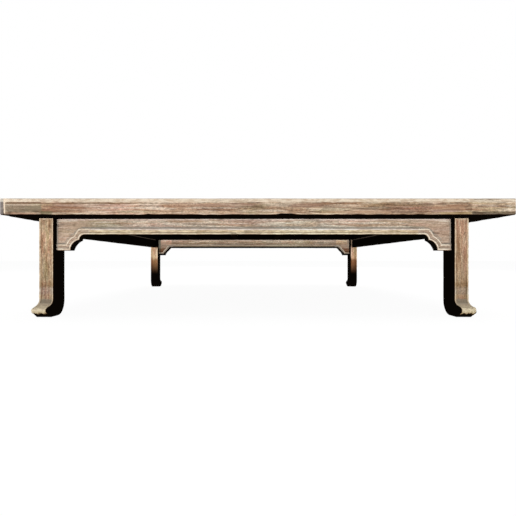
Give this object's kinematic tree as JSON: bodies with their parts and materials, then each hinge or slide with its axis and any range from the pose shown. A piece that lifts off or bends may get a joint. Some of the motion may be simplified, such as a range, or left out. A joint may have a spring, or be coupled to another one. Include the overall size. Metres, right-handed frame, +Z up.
{
  "type": "kang table",
  "caption": "Low rectangular table with a mitred frame top, square legs with out-turned scroll feet, and carved aprons with stepped-cove corner spandrels.",
  "frame": {"origin": "centre of the footprint on the floor", "axes": "+X along the table's length, +Y from front to back, +Z up"},
  "size_m": [1.22, 0.8, 0.29],
  "materials": {
    "top_wood": "dry bleached elm, pale worn arrises, fine cracks and grey streaks",
    "leg_wood": "dry bleached elm, worn bead edges, old near-black lacquer on the inward faces",
    "apron_wood": "dry bleached elm, pale along the carved band, old lacquer on the end aprons inside",
    "inner_wood": "rough elm under old near-black lacquer",
    "wedge_wood": "dense dark hardwood, end grain out",
    "peg_bamboo": "split bamboo, rounded"
  },
  "bodies": {
    "root": {"front_long_rail": "top_wood", "back_long_rail": "top_wood", "left_end_rail": "top_wood", "right_end_rail": "top_wood", "front_top_board": "top_wood", "middle_top_board": "top_wood", "back_top_board": "top_wood", "front_left_leg": "leg_wood", "front_right_leg": "leg_wood", "back_left_leg": "leg_wood", "back_right_leg": "leg_wood", "front_apron": "apron_wood", "back_apron": "apron_wood", "left_end_apron": "apron_wood", "right_end_apron": "apron_wood", "batten_1": "inner_wood", "batten_2": "inner_wood", "batten_3": "inner_wood", "batten_4": "inner_wood", "tenon_wedges": "wedge_wood", "corner_pegs": "peg_bamboo", "apron_pegs": "peg_bamboo", "apron_dowels": "peg_bamboo", "board_pins": "peg_bamboo"}
  },
  "joints": []
}
